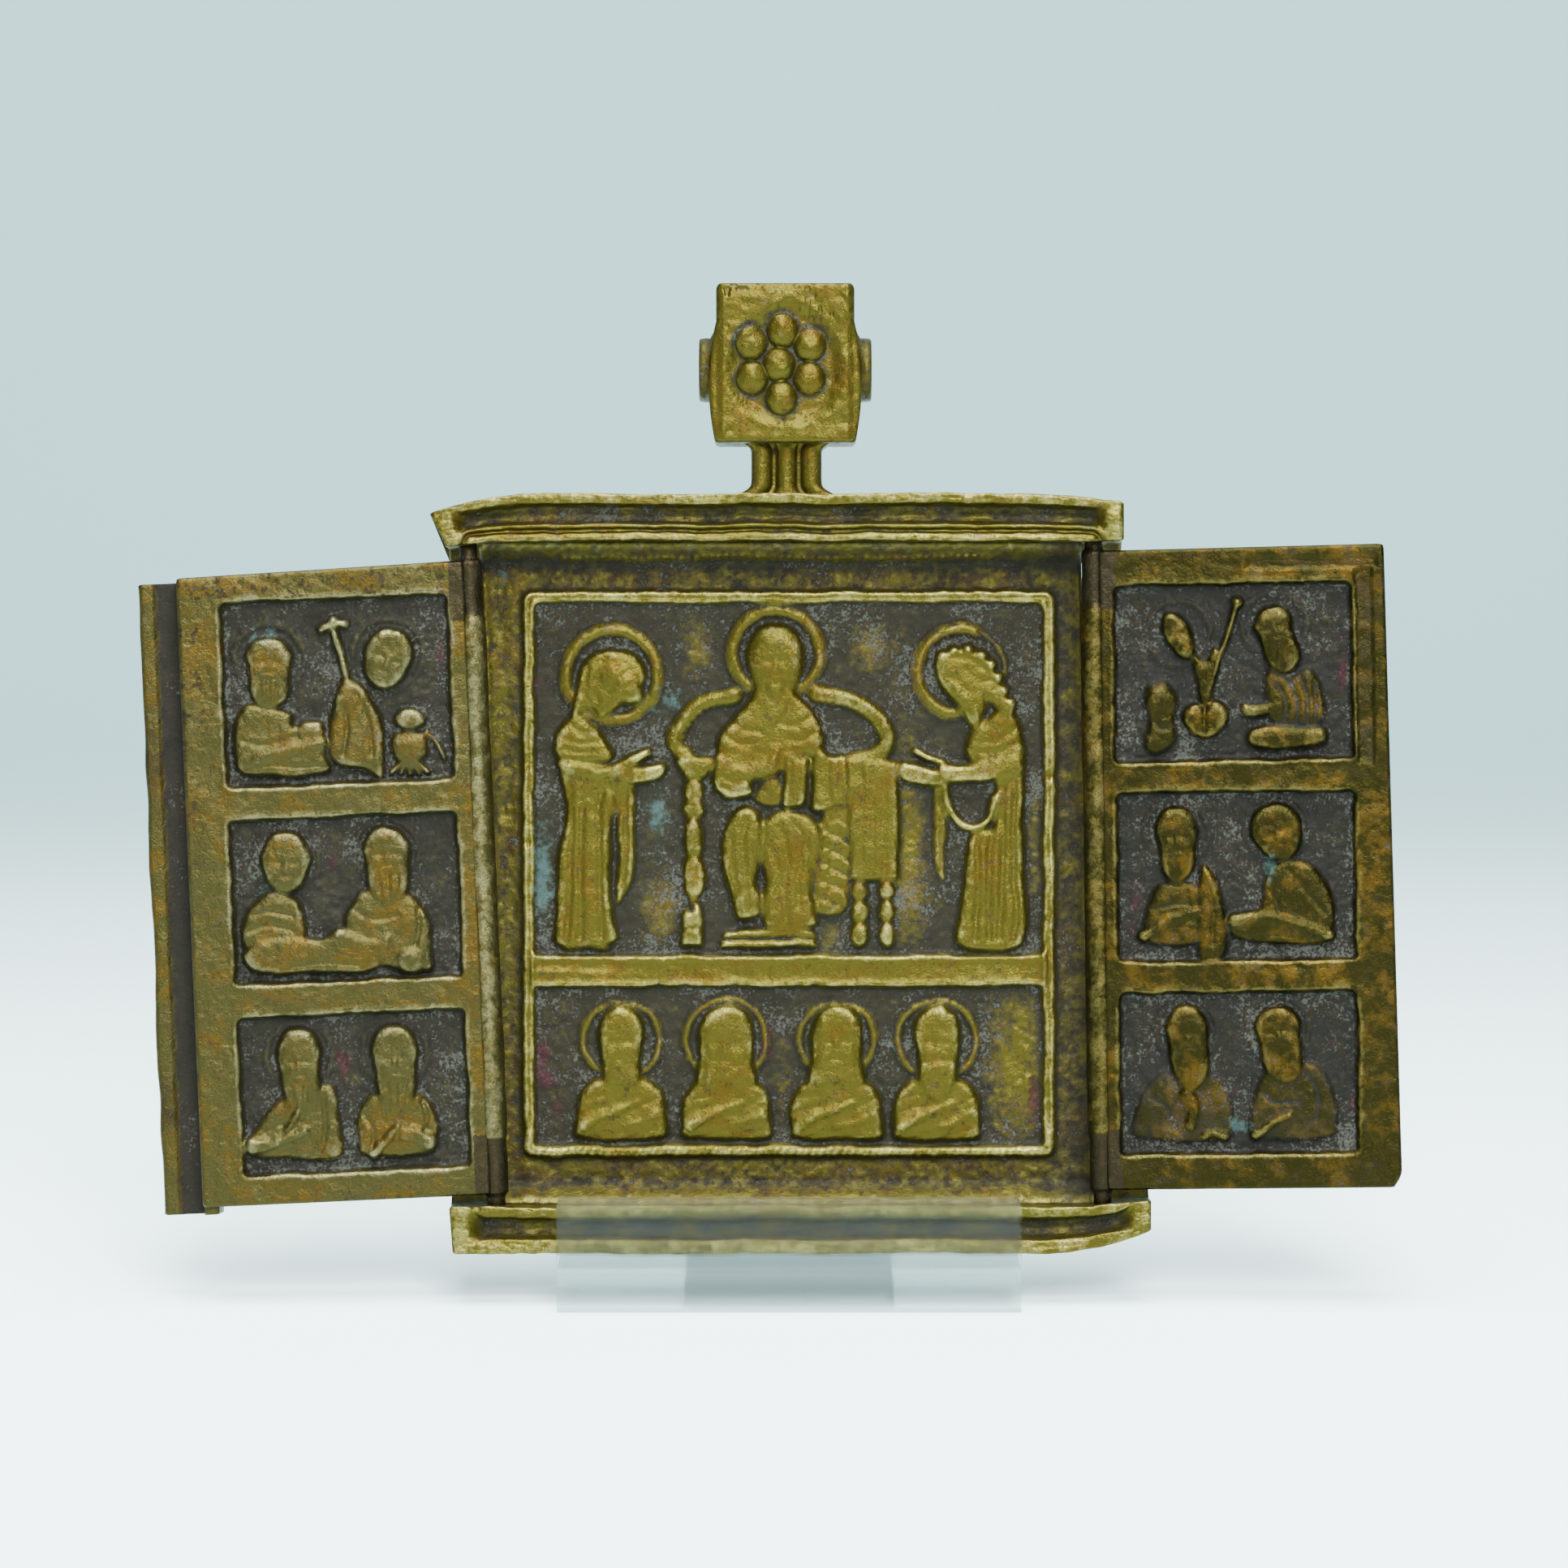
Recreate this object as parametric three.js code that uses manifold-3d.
// Small folding travel icon of cast brass: a centre leaf between two grooved rails, a pierced
// head with a rosette, and two wings that fold over the centre, standing in a clear cradle.
// Millimetres. X runs to the right, Y to the back and Z up; the origin is under the cradle's foot.

import * as THREE from 'three';
import { mergeVertices } from 'three/addons/utils/BufferGeometryUtils.js';
import Module from 'manifold-3d';

const wasm = await Module();
wasm.setup();

const degree = Math.PI / 180;

// How far a raised form reaches into the body that carries it
const backSink = 0.2;

// How the icon stands
const leanBackDegrees = 7;
const leanBack = leanBackDegrees * degree;
const restGap = 0.3;
const runningGap = 0.3;

// Plate of the centre leaf
const plateWidth = 49.2;
const plateThickness = 1.4;
const plateSkew = 1.5 * degree;
const bayHeight = 53.9;
const cornerNotch = { width: 1.5, height: 1.1 };

// Rails above and below the plate
const railDepth = 6.0;
const railHeight = 3.8;
const railEdge = 0.3;
const topRail = { left: 29.1, right: 27.1 };
const bottomRail = { left: 27.5, right: 29.3 };
const railGroove = { height: 1.3, depth: 1.2, endWall: 1.2, fromOuterEdge: 1.4 };
const railLip = { height: 0.5, depth: 0.35, fromInnerEdge: 0.6 };
const draftStart = 3.0;
const draftRise = 1.7;
const endBend = { length: 9.0, outer: 1.6, inner: 0.8, right: 0.6 };
const endLift = { length: 9.5, outer: 1.9, inner: 0.6 };
const railSteps = 11;

// Raised frame, cross bar and fields of the centre leaf
const frameWidth = 43.5;
const frameBottom = 7.5;
const frameTop = 53.8;
const frameBand = 1.05;
const frameRise = 0.8;
const crossBar = { bottom: 21.4, top: 24.1 };
const reliefRise = 1.0;

// Head and neck
const neck = {
  width: 5.7, height: 4.1, depth: 3.8, back: 1.2, seat: 1.0, centre: -0.2,
  ribs: 3, ribRise: 0.55, ribGap: 0.1, ribReach: 1.2,
};
const head = { width: 11.2, bulge: 0.6, height: 12.9, depth: 6.4, edge: 0.5, centre: -0.3 };
const headRecess = { width: 8.0, height: 8.9, depth: 0.7 };
const cordBore = { radius: 1.9, rim: 2.6, rimProud: 0.9 };
const rosette = { ball: 1.2, orbit: 2.6, balls: 6 };

// Wings
const wingThickness = 2.2;
const fieldDepth = 0.9;
const axisSetForward = 4.2;
const knuckleRadius = 1.05;
const lugLength = 4.6;
const lugNotch = 0.5;
const pinRadius = 0.75;
const pinReach = 1.2;
const leftWing = {
  side: -1, axisFoot: -23.56, tilt: 2.48 * degree, openPast: 2 * degree,
  outerTop: 23.7, outerBottom: 23.7, bottom: 4.75, topInner: 56.2, topOuter: 55.7, corner: 0.15,
  innerMargin: 2.0, outerMargin: 3.6, topMargin: 2.8, bar: 2.95, rows: [14.7, 13.0, 12.5],
};
const rightWing = {
  side: 1, axisFoot: 25.52, tilt: 0.8 * degree, openPast: 4 * degree,
  outerTop: 23.4, outerBottom: 24.2, bottom: 5.1, topInner: 56.9, topOuter: 57.1, corner: 0.6,
  innerMargin: 1.7, outerMargin: 2.8, topMargin: 3.0, bar: 2.8, rows: [14.0, 13.4, 12.8],
};
const lip = { reach: 3.3, thickness: 0.9, gap: 0.35, root: 1.5, bottom: 4.1, top: 55.4, bead: 0.5 };

// Cradle of clear acrylic
const cradle = {
  width: 37.4, lipHeight: 9.05, lipThickness: 2.0, shelfTop: 3.25, shelfThickness: 1.6, corner: 0.55,
  footWidth: 17.0, footBack: 24.0, restHeight: 22.0, restThickness: 2.0, joint: 0.5,
};
const iconSetBack = 1.0;

// Makes a closed three.js geometry into a solid that can be joined and cut.
function solid(geometry) {
  const bare = geometry.clone();
  bare.deleteAttribute('normal');
  bare.deleteAttribute('uv');
  const merged = mergeVertices(bare, 1e-4);
  return new wasm.Manifold(new wasm.Mesh({
    numProp: 3,
    vertProperties: new Float32Array(merged.attributes.position.array),
    triVerts: new Uint32Array(merged.index.array),
  }));
}

function joined(solids) {
  return solids.reduce((whole, next) => whole.add(next));
}

function meshOf(name, body, material) {
  const made = body.getMesh();
  const geometry = new THREE.BufferGeometry();
  geometry.setAttribute('position', new THREE.BufferAttribute(made.vertProperties, 3));
  geometry.setIndex(new THREE.BufferAttribute(made.triVerts, 1));
  geometry.computeVertexNormals();
  const mesh = new THREE.Mesh(geometry, material);
  mesh.name = name;
  return mesh;
}

function outline(points) {
  return new THREE.Shape(points.map(([x, z]) => new THREE.Vector2(x, z)));
}

// A slab of the given outline in the XZ plane, from one distance in front of the back to another.
function slab(shape, from, to, edge = 0) {
  const geometry = new THREE.ExtrudeGeometry(shape, {
    depth: to - from - edge, bevelEnabled: edge > 0, bevelThickness: edge, bevelSize: edge,
    bevelOffset: -edge, bevelSegments: 1, curveSegments: 5,
  });
  geometry.translate(0, 0, from);
  geometry.rotateX(Math.PI / 2);
  return solid(edge > 0 ? withoutBackBevel(geometry, from) : geometry);
}

// Presses the rear bevel of a slab flat, so that it only has an eased front edge.
function withoutBackBevel(geometry, from) {
  const place = geometry.attributes.position;
  for (let i = 0; i < place.count; i += 1) {
    place.setY(i, Math.min(place.getY(i), -from + 0.5 * backSink));
  }
  return geometry;
}

function box(x0, x1, front, back, z0, z1) {
  const geometry = new THREE.BoxGeometry(x1 - x0, front - back, z1 - z0);
  geometry.translate((x0 + x1) / 2, -(front + back) / 2, (z0 + z1) / 2);
  return solid(geometry);
}

function rod(radius, z0, z1, sides) {
  const geometry = new THREE.CylinderGeometry(radius, radius, z1 - z0, sides);
  geometry.rotateX(Math.PI / 2);
  geometry.translate(0, 0, (z0 + z1) / 2);
  return solid(geometry);
}

// An oval mound on a field: half widths across and along, turned in the field's plane.
function mound(level, x, z, across, along, rise, turn = 0, sides = 10, bands = 6) {
  const geometry = new THREE.SphereGeometry(1, sides, bands);
  geometry.scale(across, rise, along);
  geometry.rotateY(turn);
  geometry.translate(x, -level, z);
  return solid(geometry);
}

// A mound stretched between two points, for arms, staffs and folds.
function ridge(level, x0, z0, x1, z1, half, rise) {
  const length = Math.hypot(x1 - x0, z1 - z0);
  const turn = Math.atan2(x1 - x0, z1 - z0);
  return mound(level, (x0 + x1) / 2, (z0 + z1) / 2, half, length / 2 + half, rise, turn, 8, 4);
}

function ring(level, x, z, radius, half, rise, start = 0, sweep = 2 * Math.PI) {
  const whole = sweep >= 2 * Math.PI;
  if (whole) {
    const geometry = new THREE.TorusGeometry(radius, half, 4, 16);
    geometry.rotateX(Math.PI / 2);
    geometry.scale(1, rise / half, 1);
    geometry.translate(x, -level, z);
    return solid(geometry);
  }
  const path = new THREE.Shape();
  path.absarc(x, z, radius + half, start, start + sweep, false);
  path.absarc(x, z, radius - half, start + sweep, start, true);
  return slab(path, level - backSink, level + rise);
}

// A draped body seen from the front, its outline given as shares of its own width and height.
function robe(level, left, right, foot, top, rise, shares) {
  const points = shares.map(([x, z]) => [left + x * (right - left), foot + z * (top - foot)]);
  return slab(outline(points), level - backSink, level + rise, 0.25 * rise);
}

const standingRobe = [
  [0.08, 0], [0.92, 0], [0.97, 0.3], [1, 0.68], [0.86, 0.9], [0.6, 1], [0.3, 0.98], [0.06, 0.8], [0, 0.6],
];
const bustRobe = [
  [0.02, 0], [0.98, 0], [1, 0.4], [0.86, 0.74], [0.62, 1], [0.38, 1], [0.14, 0.74], [0, 0.4],
];
const seatedRobe = [
  [0.1, 0], [0.9, 0], [1, 0.42], [0.86, 0.55], [0.98, 0.72], [0.8, 0.95], [0.55, 1], [0.25, 0.95],
  [0.04, 0.7], [0.16, 0.52], [0, 0.4],
];

// Half-length figure: halo, head, shoulders and two forearms crossing the breast.
function bust(level, x, foot, headUp, size, options = {}) {
  const { beard = 0, halo = 0.72, lean = 0, rise = reliefRise } = options;
  const headZ = foot + headUp;
  const half = 0.43 * size;
  const parts = [
    ring(level, x, headZ, halo * size, 0.1 * size, 0.35 * rise),
    mound(level, x, headZ, half, 0.56 * size, 0.95 * rise, lean),
    robe(level, x - 0.92 * size, x + 0.92 * size, foot, headZ - 0.45 * size, 0.7 * rise, bustRobe),
    ridge(level, x - 0.6 * size, foot + 0.3 * size, x + 0.1 * size, foot + 0.62 * size, 0.17 * size, rise),
    ridge(level, x + 0.6 * size, foot + 0.3 * size, x + 0.05 * size, foot + 0.3 * size, 0.17 * size, rise),
  ];
  if (beard > 0) {
    parts.push(ridge(level, x, headZ - 0.4 * size, x, headZ - beard * size, 0.22 * size, 0.9 * rise));
  }
  return parts;
}

// Full-length figure bowed towards the middle: facing is 1 to the right and -1 to the left.
function standing(level, x, foot, height, facing, bearded) {
  const across = (share) => x + facing * share * height;
  const up = (share) => foot + share * height;
  const edges = [across(-0.19), across(0.03)].sort((a, b) => a - b);
  const shares = facing > 0 ? standingRobe : standingRobe.map(([a, b]) => [1 - a, b]).reverse();
  const parts = [
    ring(level, across(0), up(0.88), 0.165 * height, 0.022 * height, 0.4 * reliefRise),
    mound(level, across(0.0), up(0.87), 0.105 * height, 0.125 * height, 0.95 * reliefRise, -facing * 0.25),
    robe(level, edges[0], edges[1], foot, up(0.76), 0.75 * reliefRise, shares),
    ridge(level, across(-0.1), up(0.62), across(0.2), up(0.58), 0.03 * height, reliefRise),
    ridge(level, across(0.12), up(0.62), across(0.23), up(0.64), 0.022 * height, 0.9 * reliefRise),
    ridge(level, across(0.08), up(0.55), across(0.09), up(0.24), 0.032 * height, 0.6 * reliefRise),
    ridge(level, across(-0.12), up(0.5), across(-0.13), up(0.06), 0.022 * height, 0.95 * reliefRise),
    ridge(level, across(-0.04), up(0.5), across(-0.05), up(0.06), 0.022 * height, 0.95 * reliefRise),
  ];
  if (bearded) {
    parts.push(ridge(level, across(0.02), up(0.8), across(0.05), up(0.72), 0.04 * height, 0.9 * reliefRise));
  }
  return parts;
}

// Enthroned figure with a book, between a turned post and a carved arm, on a footstool.
function enthroned(level, x, foot, height) {
  const across = (share) => x + share * height;
  const up = (share) => foot + share * height;
  const arc = (x, z, start) => ring(
    level, across(x), up(z), 0.16 * height, 0.024 * height, 0.5 * reliefRise, start * Math.PI, 0.72 * Math.PI,
  );
  const parts = [
    ring(level, across(0), up(0.885), 0.15 * height, 0.022 * height, 0.4 * reliefRise),
    mound(level, across(-0.005), up(0.865), 0.09 * height, 0.115 * height, 0.95 * reliefRise),
    robe(level, across(-0.2), across(0.17), up(0.4), up(0.76), 0.75 * reliefRise, seatedRobe),
    ridge(level, across(-0.17), up(0.6), across(-0.05), up(0.5), 0.035 * height, reliefRise),
    slab(outline([[across(0.02), up(0.46)], [across(0.16), up(0.44)], [across(0.17), up(0.6)],
      [across(0.03), up(0.62)]]), level - backSink, level + 0.85 * reliefRise, 0.2),
    mound(level, across(-0.14), up(0.27), 0.075 * height, 0.19 * height, 0.9 * reliefRise, 0.06),
    mound(level, across(0.05), up(0.28), 0.115 * height, 0.19 * height, 0.85 * reliefRise, -0.05),
    slab(outline([[across(-0.2), up(0)], [across(0.14), up(0)], [across(0.11), up(0.06)],
      [across(-0.16), up(0.06)]]), level - backSink, level + 0.7 * reliefRise, 0.2),
    arc(-0.19, 0.61, 0.42),
    arc(0.17, 0.62, -0.12),
    slab(outline([[across(0.22), up(0.27)], [across(0.36), up(0.27)], [across(0.36), up(0.57)],
      [across(0.22), up(0.57)]]), level - backSink, level + 0.7 * reliefRise, 0.2),
    ridge(level, across(0.25), up(0.25), across(0.25), up(0.03), 0.026 * height, 0.7 * reliefRise),
    ridge(level, across(0.33), up(0.25), across(0.33), up(0.03), 0.026 * height, 0.7 * reliefRise),
  ];
  const post = [
    [0.53, 0.045, 0.03], [0.46, 0.03, 0.04], [0.35, 0.036, 0.08], [0.22, 0.036, 0.06], [0.08, 0.042, 0.08],
  ];
  post.forEach(([share, half, tall]) => {
    parts.push(mound(level, across(-0.29), up(share), half * height, tall * height, 0.85 * reliefRise, 0, 8));
  });
  return parts;
}

// Moves the points of a rail so that its ends droop or lift as bent in use.
function bendEnds(geometry, shift) {
  const place = geometry.attributes.position;
  for (let i = 0; i < place.count; i += 1) {
    place.setZ(i, place.getZ(i) + shift(place.getX(i), place.getZ(i)));
  }
  return geometry;
}

// Turns an extrusion so that it runs along X from a given place, its profile lying in Y and Z.
function alongX(x0) {
  return new THREE.Matrix4().set(0, 0, 1, x0, 1, 0, 0, 0, 0, 1, 0, 0, 0, 0, 0, 1);
}

// Carries a profile, drawn as depth and height, along X from one end to the other.
function carried(profile, x0, x1, shift) {
  const options = { depth: x1 - x0, steps: railSteps, bevelEnabled: false };
  const geometry = new THREE.ExtrudeGeometry(outline(profile), options);
  geometry.applyMatrix4(alongX(x0));
  return solid(bendEnds(geometry, shift));
}

// Share, from 0 to 1, of the bend that has built up at a distance past where it starts.
function bendShare(past, length) {
  const share = Math.min(Math.max(past / length, 0), 1);
  return share * share;
}

const innerBottom = railHeight;
const innerTop = innerBottom + bayHeight;

// One rail with its groove and lip, whose inner wall slopes back to the plate.
function rail(rise, ends, shift) {
  const inner = rise > 0 ? innerTop : innerBottom;
  const z = (up) => inner + rise * up;
  const profile = [
    [0, z(railHeight)], [-railDepth + railEdge, z(railHeight)], [-railDepth, z(railHeight - railEdge)],
    [-railDepth, z(railEdge)], [-railDepth + railEdge, z(0)], [-draftStart, z(0)],
    [-plateThickness, z(-draftRise)], [0, z(-draftRise)],
  ];
  const drawn = rise > 0 ? profile.reverse() : profile;
  const body = carried(drawn, -ends.left, ends.right, shift);
  const cut = (low, high, depth) => {
    const open = -railDepth - 1;
    const floor = -railDepth + depth;
    const edges = [[open, z(low)], [floor, z(low)], [floor, z(high)], [open, z(high)]];
    const wall = railGroove.endWall;
    return carried(rise > 0 ? edges : edges.reverse(), -ends.left + wall, ends.right - wall, shift);
  };
  const grooveTop = railHeight - railGroove.fromOuterEdge;
  return body
    .subtract(cut(grooveTop - railGroove.height, grooveTop, railGroove.depth))
    .subtract(cut(railLip.fromInnerEdge, railLip.fromInnerEdge + railLip.height, railLip.depth));
}

function topShift(x, z) {
  const left = bendShare(-x - (topRail.left - endBend.length), endBend.length);
  const right = bendShare(x - (topRail.right - endBend.length), endBend.length);
  const up = Math.min(Math.max((z - innerTop) / railHeight, 0), 1);
  return -left * (endBend.inner + up * (endBend.outer - endBend.inner)) - right * up * endBend.right;
}

function bottomShift(x, z) {
  const right = bendShare(x - (bottomRail.right - endLift.length), endLift.length);
  const down = Math.min(Math.max((innerBottom - z) / railHeight, 0), 1);
  return right * (endLift.inner + down * (endLift.outer - endLift.inner));
}

function plate() {
  const low = innerBottom - 0.5;
  const high = innerTop + 0.5;
  const lean = Math.tan(plateSkew) * (high - low) / 2;
  const half = plateWidth / 2;
  const shape = outline([
    [-half + lean, low], [half + lean, low], [half - lean, high], [-half - lean, high],
  ]);
  const body = slab(shape, 0, plateThickness);
  const { width, height } = cornerNotch;
  const cut = (x, z) => box(x - width, x + width, railDepth, -1, z - height, z + height);
  const reach = draftRise;
  return { body, notches: [
    cut(-half - lean, innerTop - reach + height), cut(half - lean, innerTop - reach + height),
    cut(-half + lean, innerBottom + reach - height), cut(half + lean, innerBottom + reach - height),
  ] };
}

function raisedFrame() {
  const half = frameWidth / 2;
  const from = plateThickness - backSink;
  const to = plateThickness + frameRise;
  const shape = outline([[-half, frameBottom], [half, frameBottom], [half, frameTop], [-half, frameTop]]);
  const hole = (low, high) => {
    const inside = half - frameBand;
    return new THREE.Path([[-inside, low], [-inside, high], [inside, high], [inside, low]]
      .map(([x, z]) => new THREE.Vector2(x, z)));
  };
  shape.holes.push(hole(crossBar.top, frameTop - frameBand), hole(frameBottom + frameBand, crossBar.bottom));
  return slab(shape, from, to);
}

function centreFigures() {
  const level = plateThickness;
  const foot = crossBar.top + 0.9;
  const tall = frameTop - frameBand - foot;
  const lowFoot = frameBottom + frameBand + 0.4;
  const lowTall = crossBar.bottom - lowFoot;
  const parts = [
    ...standing(level, -0.333 * frameWidth, foot, 0.88 * tall, 1, false),
    ...standing(level, 0.32 * frameWidth, foot, 0.88 * tall, -1, true),
    ...enthroned(level, -0.023 * frameWidth, foot, 0.97 * tall),
  ];
  const spread = [-0.315, -0.117, 0.09, 0.279];
  spread.forEach((share, i) => {
    const beard = i === spread.length - 1 ? 0.95 : 0;
    parts.push(...bust(level, share * frameWidth, lowFoot, 0.66 * lowTall, 0.33 * lowTall, { beard }));
  });
  const margin = 0.5 * frameBand;
  const inside = frameWidth / 2 - margin;
  const front = level + frameRise + 1;
  const window = box(-inside, inside, front, backSink, frameBottom + margin, frameTop - margin);
  return joined(parts).intersect(window);
}

function headAndNeck() {
  const bottom = innerTop + railHeight;
  const low = bottom + neck.height;
  const high = low + head.height;
  const neckLeft = neck.centre - neck.width / 2;
  const neckFront = neck.back + neck.depth;
  const parts = [
    box(neckLeft, neckLeft + neck.width, neckFront, neck.back, bottom - neck.seat, low + neck.seat),
  ];
  const ribPitch = neck.width / neck.ribs;
  const ribRadius = (ribPitch - neck.ribGap) / 2;
  for (let i = 0; i < neck.ribs; i += 1) {
    const geometry = new THREE.CylinderGeometry(ribRadius, ribRadius, neck.height + neck.ribReach, 8);
    geometry.rotateX(Math.PI / 2);
    geometry.scale(1, neck.ribRise, 1);
    geometry.translate(neckLeft + (i + 0.5) * ribPitch, -neckFront, (bottom + low) / 2);
    parts.push(solid(geometry));
  }
  const half = head.width / 2;
  const wide = half + head.bulge;
  const boreShare = 0.47;
  const rosetteShare = 0.49;
  const at = (share) => low + share * head.height;
  const cheek = [
    [0.9 * half, 0], [0.97 * wide, 0.14], [wide, 0.36], [0.97 * wide, 0.6], [half, 0.8], [half, 1],
  ];
  const shape = outline([
    ...cheek.map(([x, share]) => [head.centre + x, at(share)]),
    ...cheek.map(([x, share]) => [head.centre - x, at(share)]).reverse(),
  ]);
  parts.push(slab(shape, 0, head.depth, head.edge));
  const along = (radius, from, to, sides) => {
    const geometry = new THREE.CylinderGeometry(radius, radius, to - from, sides);
    geometry.rotateZ(Math.PI / 2);
    geometry.translate((from + to) / 2, -head.depth / 2, at(boreShare));
    return solid(geometry);
  };
  const rimReach = wide + cordBore.rimProud;
  parts.push(along(cordBore.rim, head.centre - rimReach, head.centre + rimReach, 14));
  const pear = [
    [0, 0.5], [-0.34, 0.3], [-0.5, -0.05], [-0.42, -0.34], [-0.2, -0.5],
    [0.2, -0.5], [0.42, -0.34], [0.5, -0.05], [0.34, 0.3],
  ];
  const recess = pear.map(([x, z]) => [head.centre + x * headRecess.width, at(0.52) + z * headRecess.height]);
  const floor = head.depth - headRecess.depth;
  const sunk = slab(outline(recess), floor, head.depth + 1);
  const ball = (x, z) => mound(floor, x, z, rosette.ball, rosette.ball, rosette.ball, 0, 8);
  const balls = [ball(head.centre, at(rosetteShare))];
  for (let i = 0; i < rosette.balls; i += 1) {
    const turn = (i / rosette.balls) * 2 * Math.PI + Math.PI / 6;
    balls.push(ball(
      head.centre + rosette.orbit * Math.cos(turn),
      at(rosetteShare) + rosette.orbit * Math.sin(turn),
    ));
  }
  const through = along(cordBore.radius, -head.width, head.width, 14);
  return joined(parts).subtract(sunk).add(joined(balls)).subtract(through);
}

// Where a wing's hinge axis crosses a height on the centre leaf.
function axisAt(wing, z) {
  return wing.axisFoot - Math.tan(wing.tilt) * z;
}

// Blind holes for the four pin tips, leaning with the wings' axes.
function pinHoles() {
  const reach = pinReach + runningGap;
  const low = innerBottom - reach;
  const high = innerTop + reach;
  const radius = pinRadius + runningGap;
  const hole = (wing, from, to) => {
    const geometry = new THREE.CylinderGeometry(radius, radius, to - from, 12);
    geometry.rotateX(Math.PI / 2);
    geometry.translate(axisAt(wing, (from + to) / 2), -axisSetForward, (from + to) / 2);
    return solid(geometry);
  };
  return [leftWing, rightWing].flatMap((wing) => [
    hole(wing, low, innerBottom + 1),
    hole(wing, innerTop - 1, high),
  ]);
}

function centreLeaf() {
  const { body, notches } = plate();
  const rails = [rail(1, topRail, topShift), rail(-1, bottomRail, bottomShift)];
  const parts = [body, ...rails, raisedFrame(), centreFigures(), headAndNeck()];
  return [...notches, ...pinHoles()].reduce((whole, cut) => whole.subtract(cut), joined(parts));
}

// Plain part of a wing: leaf, knuckle rod, pin tips and three sunk fields. Local X is outward.
function wingBlank(wing) {
  const s = wing.side;
  const half = wingThickness / 2;
  const flip = (points) => (s > 0 ? points : points.map(([x, z]) => [-x, z]).reverse());
  const leaf = slab(outline(flip([
    [0, wing.bottom], [wing.outerBottom - wing.corner, wing.bottom],
    [wing.outerBottom, wing.bottom + 3 * wing.corner], [wing.outerTop, wing.topOuter], [0, wing.topInner],
  ])), -half, half);
  const notch = (low, high) => {
    const [inner, outer] = [s * -(knuckleRadius + 1), s * (knuckleRadius + lugNotch)].sort((a, b) => a - b);
    return box(inner, outer, half + 1, -half - 1, low, high);
  };
  const cuts = [
    notch(wing.bottom - 1, wing.bottom + lugLength),
    notch(wing.topInner - lugLength, wing.topInner + 1),
  ];
  const pinLow = innerBottom - pinReach;
  const pinHigh = (innerTop + pinReach) / Math.cos(wing.tilt);
  const parts = [
    cuts.reduce((whole, cut) => whole.subtract(cut), leaf),
    rod(knuckleRadius, wing.bottom, wing.topInner, 12),
    rod(pinRadius, pinLow, pinHigh, 12),
  ];
  return joined(parts);
}

// Sunk fields of a wing from the top down, as boxes with their low and high corners.
function wingFields(wing) {
  const far = Math.min(wing.outerTop, wing.outerBottom) - wing.outerMargin;
  const edges = [wing.side * wing.innerMargin, wing.side * far].sort((a, b) => a - b);
  let top = wing.topInner - wing.topMargin;
  return wing.rows.map((height) => {
    const field = { x0: edges[0], x1: edges[1], z0: top - height, z1: top };
    top -= height + wing.bar;
    return field;
  });
}

// Two half-length figures in one field, each given by shares of the field's width and height.
function pair(field, people) {
  const level = wingThickness / 2 - fieldDepth;
  const wide = field.x1 - field.x0;
  const tall = field.z1 - field.z0;
  const parts = people.flatMap((person) => {
    const x = field.x0 + person.at * wide;
    const foot = field.z0 + 0.04 * tall;
    const options = { beard: person.beard, rise: fieldDepth, lean: person.lean };
    const figure = bust(level, x, foot, person.up * tall, person.size * tall, options);
    if (person.staff) {
      const reach = person.staff * wide;
      const [low, high] = [field.z0 + 0.3 * tall, field.z1 - 0.1 * tall];
      figure.push(ridge(level, x + reach, low, x + 1.25 * reach, high, 0.035 * tall, 0.7 * fieldDepth));
    }
    return figure;
  });
  const back = -wingThickness / 2 + backSink;
  return joined(parts).intersect(box(field.x0, field.x1, wingThickness, back, field.z0, field.z1));
}

const leftPeople = [
  [
    { at: 0.2, up: 0.67, size: 0.31, beard: 0 },
    { at: 0.74, up: 0.67, size: 0.31, beard: 0, lean: 0.3, staff: -0.2 },
  ],
  [{ at: 0.23, up: 0.7, size: 0.33, beard: 0 }, { at: 0.69, up: 0.68, size: 0.34, beard: 0 }],
  [{ at: 0.25, up: 0.6, size: 0.36, beard: 0.95 }, { at: 0.68, up: 0.6, size: 0.36, beard: 0.9 }],
];
const rightPeople = [
  [
    { at: 0.28, up: 0.68, size: 0.29, beard: 0, lean: 0.3, staff: 0.16 },
    { at: 0.69, up: 0.64, size: 0.32, beard: 0.8 },
  ],
  [{ at: 0.24, up: 0.66, size: 0.33, beard: 0.8 }, { at: 0.66, up: 0.7, size: 0.31, beard: 0, lean: -0.3 }],
  [{ at: 0.28, up: 0.6, size: 0.33, beard: 1.0 }, { at: 0.66, up: 0.58, size: 0.32, beard: 0.9 }],
];

function wingBody(wing, people) {
  const half = wingThickness / 2;
  const fields = wingFields(wing);
  const sunk = fields.map(({ x0, x1, z0, z1 }) => box(x0, x1, half + 1, half - fieldDepth, z0, z1));
  const blank = sunk.reduce((whole, cut) => whole.subtract(cut), wingBlank(wing));
  return joined([blank, ...fields.map((field, i) => pair(field, people[i]))]);
}

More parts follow.
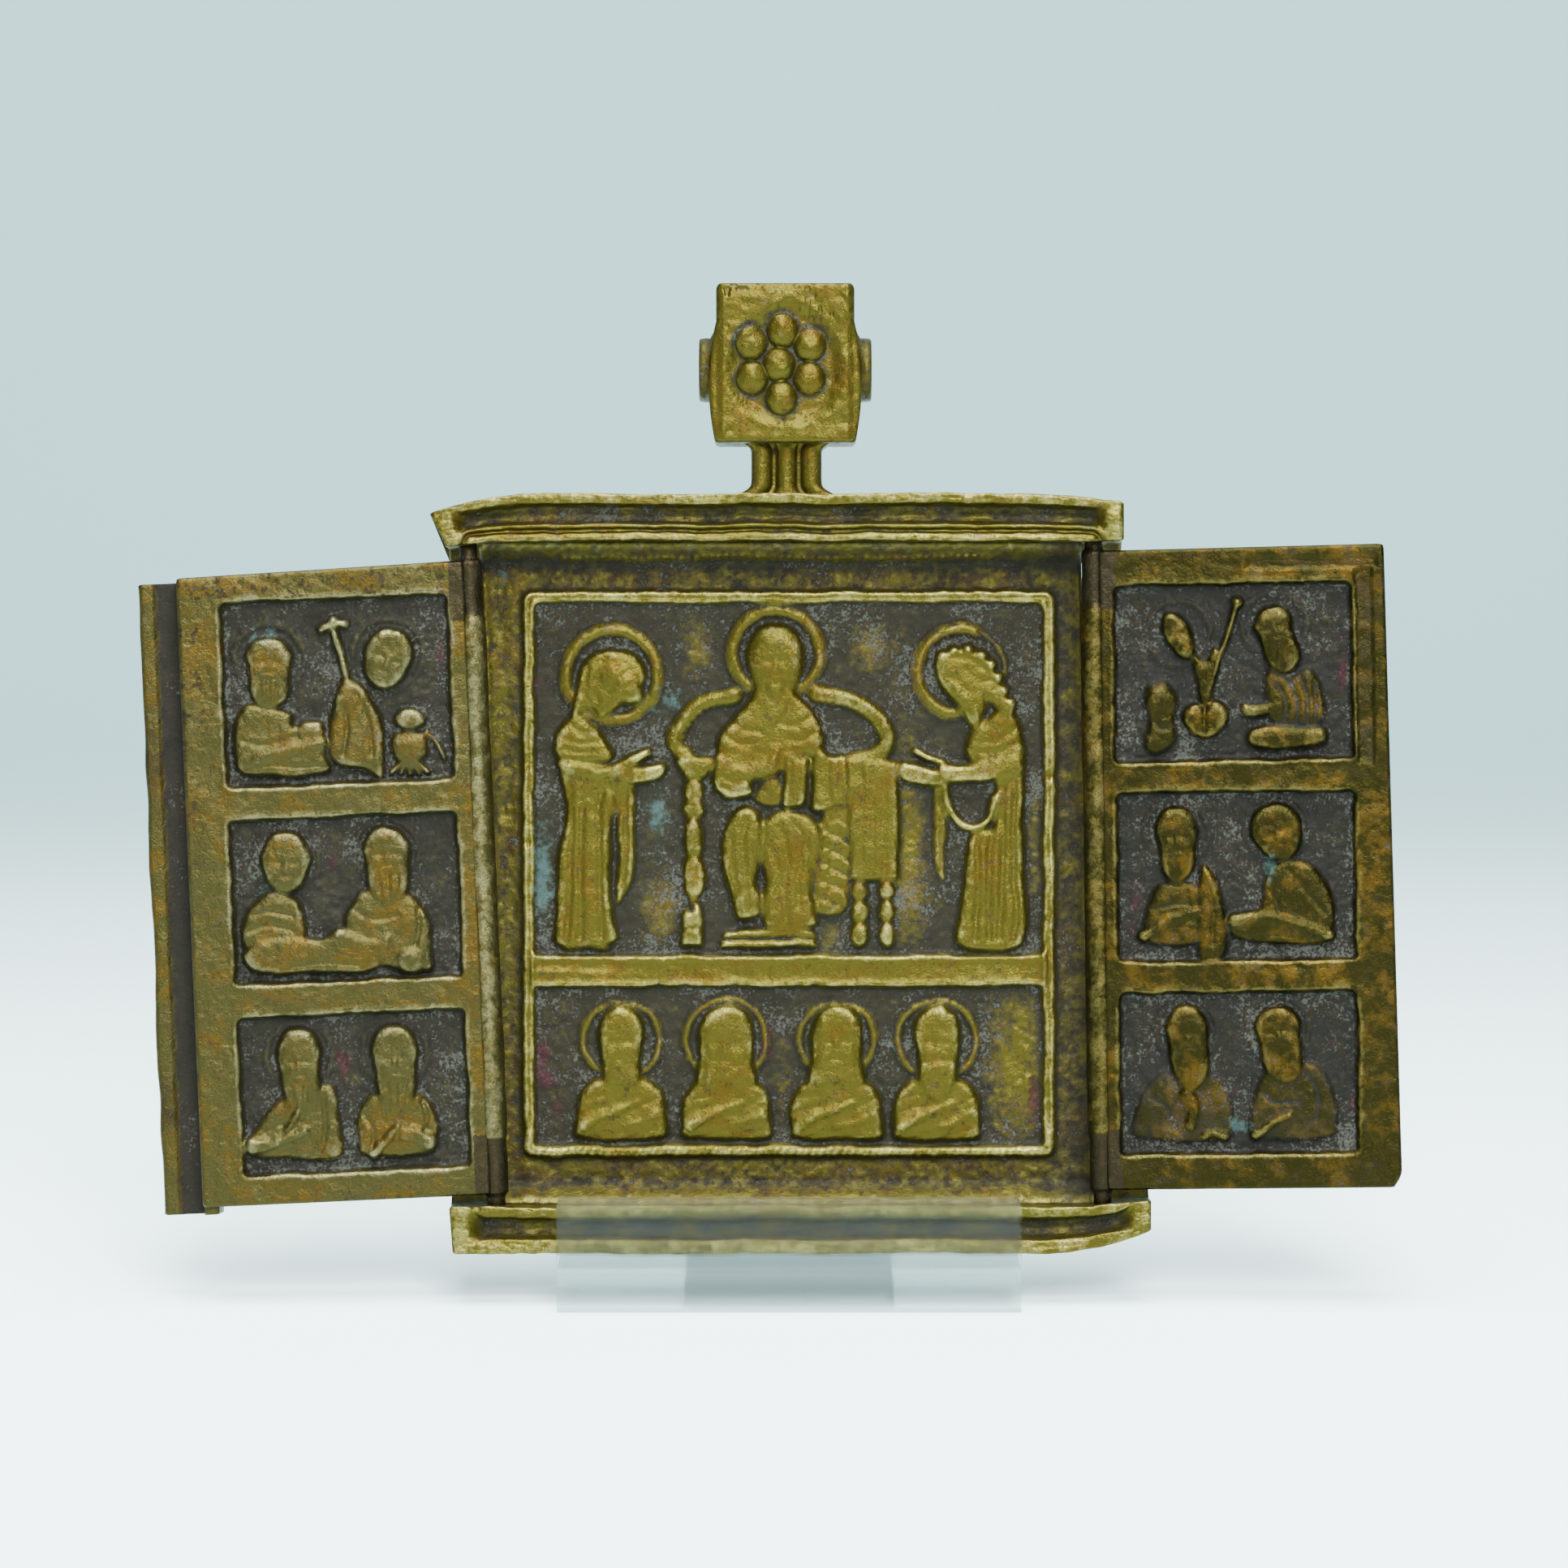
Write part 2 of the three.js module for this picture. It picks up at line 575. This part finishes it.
// Overlap lip behind the left wing's outer edge, stepped back so that it clears the other wing.
function overlapLip(wing) {
  const half = wingThickness / 2;
  const back = half + lip.gap + lip.thickness;
  const flare = (wing.outerTop - wing.outerBottom) / (wing.topOuter - wing.bottom);
  const edge = (z) => wing.outerBottom + flare * (z - wing.bottom);
  const strip = (inner, outer, low, high) => {
    const ends = [[inner, low], [outer, low], [outer, high], [inner, high]];
    const corners = ends.map(([past, z]) => [wing.side * (edge(z) + past), z]);
    return outline(wing.side > 0 ? corners : corners.reverse());
  };
  return joined([
    slab(strip(-lip.root, 0, wing.bottom, wing.topOuter), -back, 0),
    slab(strip(-lip.root, lip.reach, lip.bottom, lip.top), -back, -half - lip.gap),
    slab(strip(lip.reach - lip.bead, lip.reach, lip.bottom, lip.top), -back, -half - 0.5 * lip.gap + 0.1),
  ]);
}

// Clear cradle: front lip, shelf, narrow rest behind the icon and a foot on the table.
function cradleBody() {
  const { width, lipHeight, lipThickness, shelfTop, shelfThickness, corner } = cradle;
  const { footWidth, footBack, restHeight, restThickness, joint } = cradle;
  const iconFront = iconSetBack - railDepth * Math.cos(leanBack) - restGap;
  const lipBack = iconFront - 0.5 * restGap;
  const lipFront = lipBack - lipThickness;
  const restFoot = iconSetBack + restGap / Math.cos(leanBack);
  const half = width / 2;
  const lipShape = new THREE.Shape();
  lipShape.moveTo(-half, 0);
  lipShape.lineTo(half, 0);
  lipShape.lineTo(half, lipHeight - corner);
  lipShape.absarc(half - corner, lipHeight - corner, corner, 0, Math.PI / 2, false);
  lipShape.absarc(-half + corner, lipHeight - corner, corner, Math.PI / 2, Math.PI, false);
  const lipPlate = slab(lipShape, -lipBack, -lipFront);
  const side = (points, from, to) => {
    const geometry = new THREE.ExtrudeGeometry(outline(points), { depth: to - from, bevelEnabled: false });
    geometry.applyMatrix4(alongX(from));
    return solid(geometry);
  };
  const lean = Math.tan(leanBack) * restHeight;
  const shelfFront = lipBack - joint;
  const shelfBack = restFoot + restThickness;
  const shelfLow = shelfTop - shelfThickness;
  const restTop = shelfTop + restHeight;
  const shelf = side([
    [shelfFront, shelfLow], [shelfBack, shelfLow], [shelfBack, shelfTop], [shelfFront, shelfTop],
  ], -half, half);
  const rest = side([
    [restFoot, joint], [shelfBack, joint], [shelfBack + lean, restTop],
    [restFoot + lean, restTop], [restFoot, shelfTop],
  ], -footWidth / 2, footWidth / 2);
  const foot = side([
    [shelfFront, 0], [footBack, 0], [footBack, shelfLow], [shelfFront, shelfLow],
  ], -footWidth / 2, footWidth / 2);
  return joined([lipPlate, shelf, rest, foot]);
}

const brass = new THREE.MeshStandardMaterial({ color: 0x8a7330, roughness: 0.42, metalness: 0.95 });
const wingBrass = new THREE.MeshStandardMaterial({ color: 0x857138, roughness: 0.45, metalness: 0.95 });
const acrylic = new THREE.MeshStandardMaterial({
  color: 0xe6eef0, roughness: 0.08, metalness: 0, transparent: true, opacity: 0.35,
});

const icon = new THREE.Group();
icon.add(meshOf('centre_leaf', centreLeaf(), brass));
const wingSet = [
  ['left_wing', leftWing, wingBody(leftWing, leftPeople).add(overlapLip(leftWing))],
  ['right_wing', rightWing, wingBody(rightWing, rightPeople)],
];
wingSet.forEach(([name, wing, body]) => {
  const hinge = new THREE.Group();
  hinge.position.set(wing.axisFoot, -axisSetForward, 0);
  hinge.rotation.set(0, -wing.tilt, -wing.side * wing.openPast);
  hinge.add(meshOf(name, body, wingBrass));
  icon.add(hinge);
});
icon.rotation.x = -leanBack;
icon.position.set(0, iconSetBack, cradle.shelfTop + restGap);

const travelIcon = new THREE.Group();
travelIcon.add(icon, meshOf('clear_cradle', cradleBody(), acrylic));

export default travelIcon;
